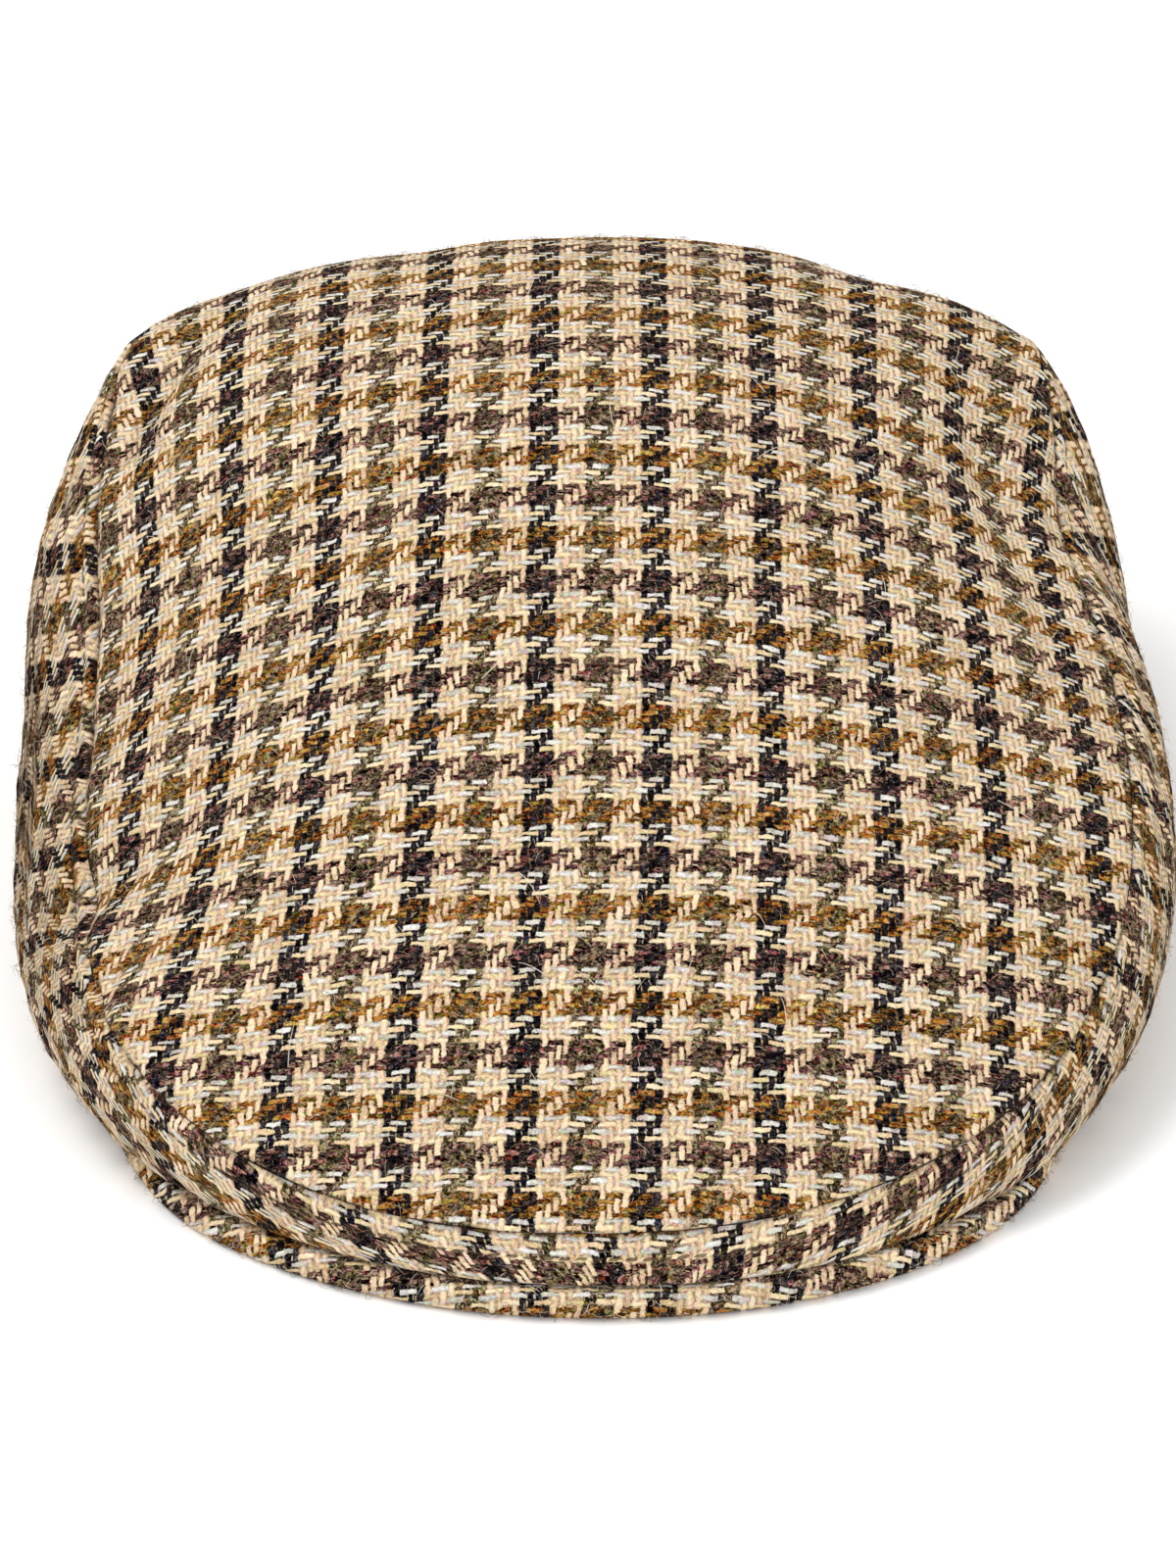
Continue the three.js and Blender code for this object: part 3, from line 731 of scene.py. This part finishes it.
# Painted shade: where a yarn stands low, at its sides and between yarns, its colour is multiplied towards
# brown
hollow_shade = height.within(0.0, 0.9, 1, 0) * (dark * (HOLLOW_SHADE_DARK - HOLLOW_SHADE_PALE) + HOLLOW_SHADE_PALE)
yarn = mixed(weave, hollow_shade, yarn, mixed(weave, 1.0, yarn, HOLLOW_SHADE_BROWN, "MULTIPLY"))
dyes = times_plus(weave, noise_colour(weave, place, 1.5, 3, 0.7), (DYE_CONTRAST,) * 3, (DYE_OFFSET,) * 3)
yarn = mixed(weave, dark * (DYE_DARK - DYE_PALE) + DYE_PALE, yarn, dyes, "OVERLAY")
on_navy = warp_on_top * warp_stripe.under(0.5)
hairy = dark * (HAIRS_DARK - HAIRS_PALE) - on_navy * (HAIRS_DARK - HAIRS_NAVY) + HAIRS_PALE
lie_over = light_hairs * hairy * (clump * 0.5 + 0.5)
yarn = mixed(weave, lie_over, yarn, mixed(weave, golden * GOLD_IN_RUST, HAIR_PALE, HAIR_GOLD))
weave.links.new(yarn, weave_out.inputs["Colour"])
height = height * (pale * (RAISED_PALE - RAISED_DARK) + RAISED_DARK) + strand * RAISED_STRAND
height = height + lie_over * RAISED_HAIR + fuzz * dark * RAISED_FUZZ
weave.links.new(height.socket, weave_out.inputs["Height"])


# Stitches and the painted shade in the seam's valley, in mm, and how much of a stitch shows and how far it
# is sunk
STITCH_LONG, STITCH_PITCH, STITCH_WIDE = 2.0, 3.0, 0.45
STITCH_SHOWS, STITCH_SUNK = 0.8, 0.5
SEAM_SHADE_RAGGED, SEAM_SHADE_FULL_TO, SEAM_SHADE_ENDS = 1.6, 0.1, 0.75
SEAM_SHADE_COLOUR, STITCH_COLOUR = (0.035, 0.020, 0.012), (0.060, 0.040, 0.022)

stitching, stitching_in, stitching_out = node_group(
    "seam_and_topstitch", [("Seam", "Vector"), ("Stitched at", "Float")],
    [("Seam shade", "Float"), ("Stitch", "Float")])
round_it, from_it = parts(stitching, stitching_in.outputs["Seam"])
# Painted shade in the seam's valley: full up to one distance from the seam and gone at another, with a
# ragged edge and a strength that varies along the seam
ragged = noise(stitching, joined(stitching, round_it, from_it), 1.1, 3, 0.7)
pressed = noise(stitching, joined(stitching, round_it * 0.09, 0.0), 1.0, 2).within(0.38, 0.62, 0.3, 1)
seam_shade = (from_it + (ragged - 0.5) * SEAM_SHADE_RAGGED).within(SEAM_SHADE_FULL_TO, SEAM_SHADE_ENDS, 1, 0)
seam_shade = seam_shade * ragged.within(0.3, 0.6, 0.35, 0.95) * pressed
stitching.links.new(seam_shade.socket, stitching_out.inputs["Seam shade"])
stitch_aside = (from_it - Reckoner(stitching, stitching_in.outputs["Stitched at"])) / (STITCH_WIDE / 2)
stitch_along = ((round_it % STITCH_PITCH) - STITCH_PITCH / 2) / (STITCH_LONG / 2)
stitch = (stitch_aside ** 2.0 + stitch_along.size() ** 6.0).within(0.5, 1.1, 1, 0)
stitching.links.new(stitch.socket, stitching_out.inputs["Stitch"])


THREAD_RELIEF, UNSTITCHED = 0.5, -9.0
WOOL_FINISH = {"Roughness": 0.92, "Specular IOR Level": 0, "Sheen Weight": 0.01, "Sheen Roughness": 0.5}


def tweed(name, stitched_at=UNSTITCHED):
    """The woven cloth: dull wool with a soft sheen and raised threads. Its colour is painted dark
    in the seam's valley as painted shade, and it has a row of stitches that many mm from the seam."""
    material, shader = plain_material(name, WOOL_FINISH)
    tree = material.node_tree
    threads, seam = (new_node(tree, "UVMap", uv_map=n).outputs["UV"] for n in ("threads", "seam"))
    cloth = new_node(tree, "Group", threads, node_tree=weave)
    sewing = new_node(tree, "Group", seam, stitched_at, node_tree=stitching)
    in_seam_shade, on_stitch = (Reckoner(tree, sewing.outputs[n]) for n in ("Seam shade", "Stitch"))
    # The painted shade of the seam's valley darkens the cloth's colour
    colour = mixed(tree, in_seam_shade, cloth.outputs["Colour"], SEAM_SHADE_COLOUR)
    colour = mixed(tree, on_stitch * STITCH_SHOWS, colour, STITCH_COLOUR)
    raised = Reckoner(tree, cloth.outputs["Height"]) - on_stitch * STITCH_SUNK
    bump = new_node(tree, "Bump")
    bump.inputs["Distance"].default_value = THREAD_RELIEF * MM
    tree.links.new(raised.socket, bump.inputs["Height"])
    tree.links.new(colour, shader.inputs["Base Color"])
    tree.links.new(bump.outputs["Normal"], shader.inputs["Normal"])
    return material


top_tweed = tweed("top_tweed")
top_panel.data.materials.append(top_tweed)

# ---------------------------------------------------------------- side band
# The band of the same tweed between the top and the rim. Its edge at the top seam is turned in
# and stitched down, which leaves a raised welt. At the front it narrows to a strip on the peak.

WELT_WIDE, WELT_WIDER_AT_FRONT, WELT_PROUD = 2.9, 2.1, 0.55
WELT_GROOVE_DEEP, WELT_GROOVE_WIDE = 0.6, 0.65
WELT_FLATTER_AT_FRONT, WELT_FLATTER_AT_RIGHT = 0.6, 0.5
BACK_SEAM_DEEP, BACK_SEAM_FULL_AT = 0.8, 4
RIM_ROLL_DEEP, RIM_ROLL_WIDE = 1.1, 1.5
FOLDS_WITHIN = 14

# Lumps of the band: how high, how far apart, and between which depths they rise to the full
BAND_BURLS_HIGH, BURLS_SHIFTED = 0.20, 9
BAND_WAVES_HIGH, BAND_WAVES_APART, BAND_WAVES_RISE = 0.3, 40, (2, 12)
BAND_LUMPS_HIGH, BAND_LUMPS_APART, BAND_LUMPS_RISE = 0.16, 13, (0, 3)

# Creases of the band: degrees round from the back seam, mm down, mm down for each mm round, half
# length, half width and depth
BAND_CREASES = table("turned down tilt long wide deep", [
    (262, 9, 0.02, 40, 3.0, 1.3),
    (276, 17, -0.05, 28, 3.2, 1.0),
    (78, 11, -0.04, 26, 3.4, 0.9),
    (100, 20, 0.05, 30, 3.6, 0.8),
])
BAND_CUT_RADIUS = 380.0
BAND_CHECK_ROUND, BAND_CHECK_DOWN = -0.12, 0.4

band_normals = form_normals[TOP_RINGS - 1:].copy()
band_normals[-1] = outward(angles)
band_grid = np.concatenate([seam_ring[None], band_form])
band_down = along_grid(band_grid)
band_relief = -seam_deep * bell(band_down, SEAM_ROLL_WIDE)
seam_fold = fold_depth(cut_across, cut_along)
band_relief -= seam_fold * bell(band_down, FOLDS_WITHIN)
welt = 1 - WELT_FLATTER_AT_FRONT * at_front - WELT_FLATTER_AT_RIGHT * at_right * (1 - at_front)
welt_wide = WELT_WIDE + WELT_WIDER_AT_FRONT * at_front
band_relief += WELT_PROUD * welt * bell(band_down - welt_wide / 2, welt_wide / 3)
band_relief -= WELT_GROOVE_DEEP * welt * bell(band_down - welt_wide, WELT_GROOVE_WIDE)
round_band = round_seam + 0 * band_down
band_relief += BAND_BURLS_HIGH * unevenness(round_band + BURLS_SHIFTED, band_down, BURLS_APART)
waves = BAND_WAVES_HIGH * unevenness(round_band, band_down, BAND_WAVES_APART)
band_relief += waves * smooth(band_down, *BAND_WAVES_RISE)
lumps = BAND_LUMPS_HIGH * unevenness(round_band, band_down, BAND_LUMPS_APART)
band_relief += lumps * smooth(band_down, *BAND_LUMPS_RISE)
to_back_seam = np.minimum(round_seam, round_closed[-1] - round_seam) + 0 * band_down
back_seam = BACK_SEAM_DEEP * bell(to_back_seam, SEAM_ROLL_WIDE)
band_relief -= back_seam * smooth(band_down, 0, BACK_SEAM_FULL_AT)
for crease in BAND_CREASES:
    away = (np.degrees(angles) - 90 - crease["turned"]) * round_closed[-1] / 360
    below = band_down - crease["down"] - crease["tilt"] * away
    hill = np.exp(-((away / crease["long"]) ** 2) - (below / crease["wide"]) ** 2)
    band_relief -= crease["deep"] * hill
rim_roll = band_down[-1] - band_down
band_relief -= RIM_ROLL_DEEP * bell(rim_roll, RIM_ROLL_WIDE)
band_outer = band_grid + band_normals * band_relief[..., None]
toward = band_grid[3] - band_grid[0]
band_outer[0] += toward * (SEAM_GAP / 2 / np.linalg.norm(toward, axis=-1, keepdims=True))
band_low = lower_edge(angles)[:, 2]
band_outer[..., 2] = np.maximum(band_outer[..., 2], band_low)
keep = np.r_[0:BAND_RINGS + 1:INNER_EVERY]

# Where the inner wall would pass below the lower edge, it runs flat to the edge instead
EDGE_REACHED = 0.02
band_inner = (band_outer - CLOTH * band_normals)[keep]
last = len(keep) - 1
reached = band_inner[..., 2] <= band_low + EDGE_REACHED
first = np.where(reached.any(0), reached.argmax(0), last)
ring_number = np.arange(last + 1)[:, None]
start = band_inner[first, np.arange(AROUND)]
start[:, 2] = band_low
share = np.clip((ring_number - first) / (last + 1 - first), 0, 1)[..., None]
flat_run = start + (band_outer[-1] - start) * share
band_inner = np.where((ring_number >= first)[..., None], flat_run, band_inner)

# The band is cut as part of a flat ring, so its warp runs down it at the front, turns across it
# at the sides, and meets itself at the seam in the middle of the back
down_closed = closed(band_down[..., None])[..., 0]
turned_by = (round_closed - round_closed[AROUND // 2]) / BAND_CUT_RADIUS
from_centre = BAND_CUT_RADIUS - down_closed
band_u = from_centre * np.sin(turned_by) / REPEAT + BAND_CHECK_ROUND
band_v = (from_centre * np.cos(turned_by) - BAND_CUT_RADIUS) / REPEAT + BAND_CHECK_DOWN
from_back_seam = np.minimum(round_closed, round_closed[-1] - round_closed) + 0 * down_closed
# Through the second number of this map, the painted shade of the seam's valley also falls along the back
# seam
band_uv = np.stack([
    band_u, band_v, round_closed + down_closed,
    np.minimum(down_closed * WELT_WIDE / closed(welt_wide[None]), from_back_seam)], -1)
side_band = cloth_object(
    "band_cloth", band_outer, band_inner, band_uv, band_uv[keep], None)
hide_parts("side_band")
side_band.data.materials.append(tweed("band_tweed", stitched_at=WELT_WIDE))

# ---------------------------------------------------------------- peak
# A stiff board covered in the same tweed on both faces, with its edge rolled round and its back
# edge along the head opening. Its corners taper and tuck in behind the band.

PEAK_PROUD, PEAK_TUCK = 2.0, 3.0
OPENING_Y, OPENING_HALF_WIDTH, OPENING_FRONT, OPENING_ROUND = -21.0, 90.9, 59.0, 2.2
PEAK_STATIONS, EDGE_POINTS, FACE_POINTS = 260, 14, 24
PEAK_CHECK_ALONG = 0.3

# It starts this many radians inside its corners, and stands fully proud between these sines of
# the angle. Its rolled edge is inset by a share of its thickness, with cos to a power.
PEAK_INSIDE_CORNER, PROUD_FROM, PROUD_FULL = 0.09, 0.45, 0.8
EDGE_INSET_SHARE, EDGE_THICK_AT_MOST, EDGE_POWER = 0.5, 4.0, 0.8

corner_angle = math.asin(PEAK_CORNER) + PEAK_INSIDE_CORNER
peak_angles = np.linspace(-np.pi + corner_angle, -corner_angle, PEAK_STATIONS)
forwards = smooth(-np.sin(peak_angles), PROUD_FROM, PROUD_FULL)
peak_edge = lower_edge(peak_angles, -PEAK_TUCK + (PEAK_PROUD + PEAK_TUCK) * forwards)
peak_edge[:, 2] = 0
opening_out = 2 / OPENING_ROUND
peak_back = np.stack([
    OPENING_HALF_WIDTH * power(np.cos(peak_angles), opening_out),
    OPENING_Y + OPENING_FRONT * power(np.sin(peak_angles), opening_out),
    0 * peak_angles], -1)
thick = peak_thickness(peak_angles)
reach = np.linalg.norm(peak_edge - peak_back, axis=-1)
half_round = np.linspace(-np.pi / 2, np.pi / 2, EDGE_POINTS)
inset = EDGE_INSET_SHARE * np.minimum(thick, EDGE_THICK_AT_MOST)
edge_in = inset * (1 - np.cos(half_round)[:, None] ** EDGE_POWER)
edge_up = thick / 2 * (1 + np.sin(half_round)[:, None])
face_share = (np.arange(1, FACE_POINTS + 1) / FACE_POINTS)[:, None]
top_in = inset + (reach - inset) * face_share
from_edge = np.concatenate([top_in[::-1], edge_in, top_in])
up = np.concatenate([0 * top_in, edge_up, 0 * top_in + thick])
slide = (from_edge / reach)[..., None]
peak_grid = peak_edge + (peak_back - peak_edge) * slide
peak_grid[..., 2] = up
peak_profile = along_grid(peak_grid)
middle_of_edge = FACE_POINTS + EDGE_POINTS // 2
wrap = peak_profile - peak_profile[middle_of_edge]
out_way = unit(peak_edge - peak_back)
edge_place = peak_edge[..., :2] - out_way[..., :2] * wrap[..., None]
peak_check = np.array([CHECK_ACROSS, PEAK_CHECK_ALONG])
upper_uv = edge_place / REPEAT + peak_check
under_uv = peak_grid[..., :2] * np.array([-1, 1]) / REPEAT + peak_check
rows, cols = peak_grid.shape[:2]
k, i = np.meshgrid(np.arange(rows), np.arange(cols - 1), indexing="ij")
nxt = (k + 1) % rows
quads = np.stack([k * cols + i, k * cols + i + 1, nxt * cols + i + 1, nxt * cols + i], -1)
quads = quads.reshape(-1, 4)
end_left = (np.arange(rows) * cols).tolist()
end_right = (np.arange(rows) * cols + cols - 1).tolist()[::-1]
peak_mesh = bpy.data.meshes.new("peak_cloth")
peak_mesh.from_pydata(
    (peak_grid.reshape(-1, 3) - FOOT_CENTRE) * MM, [], quads.tolist() + [end_left, end_right])
corner = quads.reshape(-1)
under = np.repeat((k < FACE_POINTS + 1).reshape(-1), 4) * rows * cols
corner = (corner + under).tolist() + end_left + end_right
both_uv = np.concatenate([upper_uv.reshape(-1, 2), under_uv.reshape(-1, 2)])
set_map(peak_mesh, "threads", both_uv[corner])
set_map(peak_mesh, "seam", np.full((len(corner), 2), float(FAR_FROM_SEAM)))
peak_mesh.shade_smooth()
peak = placed("peak_board", peak_mesh)
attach(peak, "root")
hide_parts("peak")
peak_mesh.materials.append(top_tweed)

# ---------------------------------------------------------------- stray fibres
# Loose ends of wool that stand out of the cloth all over, and a few long coarse white hairs that
# lie across the top. Each is a thin bent tube of three sides, closed at both ends.

SHORT_HAIRS, PEAK_HAIRS, LONG_HAIRS = 8000, 900, 46
SHARE_ON_TOP, RIM_RINGS_BARE, EDGE_RINGS_BARE = 0.66, 6, 12
HAIR_TAPER, HAIR_ROOT, HAIR_BEND, HAIR_DROOP = 0.65, 0.12, 0.4, 0.012
ASKEW = np.array([0.31, 0.17, 0.93])
MOSTLY_SHORT, LEAST_RISE, WHITE_FROM = 1.5, 0.4, 0.8
HAIR_FINISH = {"Roughness": 0.6, "Specular IOR Level": 0.2}

# Loose hairs of the top, the band and the peak, and the long white ones, in mm
HAIR_KINDS = table("shortest longest proud girth joints white", [
    (1.0, 3.4, 0.6, 0.10, 4, 0),
    (1.0, 3.4, 0.6, 0.10, 4, 0),
    (1.0, 3.0, 0.8, 0.10, 4, 0),
    (6.0, 15.0, 0.7, 0.17, 9, 1),
])
HAIR_COLOURS = [(0.0, (0.020, 0.014, 0.011)), (0.2, (0.13, 0.075, 0.038)), (0.4, (0.42, 0.27, 0.14)),
                (0.65, (0.66, 0.52, 0.35)), (1.0, (0.88, 0.80, 0.68))]


def strand_tubes(start, way, lift, length, bend, thick, joints):
    """Tubes of three sides round the lines start + way t + bend t^2 + lift t (1 - t) 4, t 0 to 1,
    which taper to a third at the far end. Gives their points and their faces."""
    t = np.linspace(0, 1, joints)[:, None]
    line = start[:, None] + (way * length)[:, None] * t + (bend * length)[:, None] * t**2
    line += lift[:, None] * (4 * t * (1 - t))
    run = np.gradient(line, axis=1)
    side = unit(np.cross(run, way[:, None] + ASKEW))
    other = unit(np.cross(run, side))
    turn = np.arange(3) * 2 * np.pi / 3
    ring = side[:, :, None] * np.cos(turn)[:, None] + other[:, :, None] * np.sin(turn)[:, None]
    radius = (thick / 2)[:, None, None, None] * (1 - HAIR_TAPER * t)[None, :, :, None]
    points = line[:, :, None] + ring * radius
    count = len(start)
    j, k = np.meshgrid(np.arange(joints - 1), np.arange(3), indexing="ij")
    quad = np.stack([j * 3 + k, j * 3 + (k + 1) % 3, (j + 1) * 3 + (k + 1) % 3, (j + 1) * 3 + k], -1)
    base = np.arange(count)[:, None, None] * joints * 3
    quads = (quad.reshape(1, -1, 4) + base).reshape(-1, 4)
    caps = np.array([[2, 1, 0], [joints * 3 - 3, joints * 3 - 2, joints * 3 - 1]])
    caps = (caps[None] + base).reshape(-1, 3)
    return points.reshape(-1, 3), quads.tolist() + caps.tolist(), count * joints * 3


def scattered(grid, normals, count, chooser, ring_closed=True):
    """Random places over a grid of rings, evenly by area, with their outward directions."""
    columns = grid.shape[1]
    across = np.linalg.norm(np.roll(grid, -1, 1) - grid, axis=-1)[:-1]
    across[:, -1] *= ring_closed
    area = (across * np.linalg.norm(grid[1:] - grid[:-1], axis=-1)).reshape(-1)
    cell = chooser.choice(len(area), count, p=area / area.sum())
    ring, column = cell // columns, cell % columns
    a, b = chooser.random((2, count, 1))
    after = (column + 1) % columns
    upper = grid[ring, column] * (1 - a) + grid[ring, after] * a
    lower = grid[ring + 1, column] * (1 - a) + grid[ring + 1, after] * a
    return upper * (1 - b) + lower * b, normals[ring, column]


hair_luck = np.random.default_rng(7)
hairs_on_top = int(SHORT_HAIRS * SHARE_ON_TOP)
on_top = scattered(top_outer, top_normals, hairs_on_top, hair_luck)
band_part, top_part = slice(None, -RIM_RINGS_BARE), slice(None, -EDGE_RINGS_BARE)
on_band = scattered(band_outer[band_part], band_normals[band_part], SHORT_HAIRS - hairs_on_top, hair_luck)
long_on_top = scattered(top_outer[top_part], top_normals[top_part], LONG_HAIRS, hair_luck)
hair_points, hair_faces, hair_tones, hair_base = [], [], [], 0
peak_normals = unit(np.cross(np.gradient(peak_grid, axis=1), np.gradient(peak_grid, axis=0)))
shown = slice(FACE_POINTS + 3, FACE_POINTS + EDGE_POINTS + 2)
on_peak = scattered(peak_grid[shown], peak_normals[shown], PEAK_HAIRS, hair_luck, False)
for (place, out), kind in zip((on_top, on_band, on_peak, long_on_top), HAIR_KINDS):
    count, joints = len(place), int(kind["joints"])
    loose = hair_luck.normal(size=(2, count, 3))
    flat_way, flat_bend = (unit(v - out * (v * out).sum(-1, keepdims=True)) for v in loose)
    longer = kind["longest"] - kind["shortest"]
    size = kind["shortest"] + longer * hair_luck.random((count, 1)) ** MOSTLY_SHORT
    rise = kind["proud"] * (LEAST_RISE + hair_luck.random((count, 1)))
    bend = flat_bend * HAIR_BEND * hair_luck.random((count, 1)) - out * HAIR_DROOP * size
    tubes, faces, used = strand_tubes(
        place + out * HAIR_ROOT, flat_way, out * rise, size, bend, np.full(count, kind["girth"]), joints)
    hair_points.append(tubes)
    hair_faces += [[corner + hair_base for corner in face] for face in faces]
    palest = WHITE_FROM * kind["white"]
    tone = palest + (1 - palest) * hair_luck.random(count)
    hair_tones.append(np.repeat(tone, joints * 3))
    hair_base += used
hair_mesh = bpy.data.meshes.new("stray_fibres")
hair_places = np.concatenate(hair_points) - FOOT_CENTRE
hair_places[:, 2] = np.maximum(hair_places[:, 2], 0)
hair_mesh.from_pydata(hair_places * MM, [], hair_faces)
hair_corner = np.fromiter((c for face in hair_faces for c in face), int)
hair_tone = np.concatenate(hair_tones)[hair_corner]
set_map(hair_mesh, "wool", np.stack([hair_tone, 0 * hair_tone + 0.5], -1))
hair_mesh.shade_smooth()
stray_fibres = placed("stray_fibres", hair_mesh)
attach(stray_fibres, "root")
hair_material, hair_shader = plain_material("loose_wool", HAIR_FINISH)
hair_tree = hair_material.node_tree
hair_map = new_node(hair_tree, "UVMap", uv_map="wool").outputs["UV"]
hair_colour = heather(hair_tree, parts(hair_tree, hair_map)[0], HAIR_COLOURS)
hair_tree.links.new(hair_colour, hair_shader.inputs["Base Color"])
hair_mesh.materials.append(hair_material)
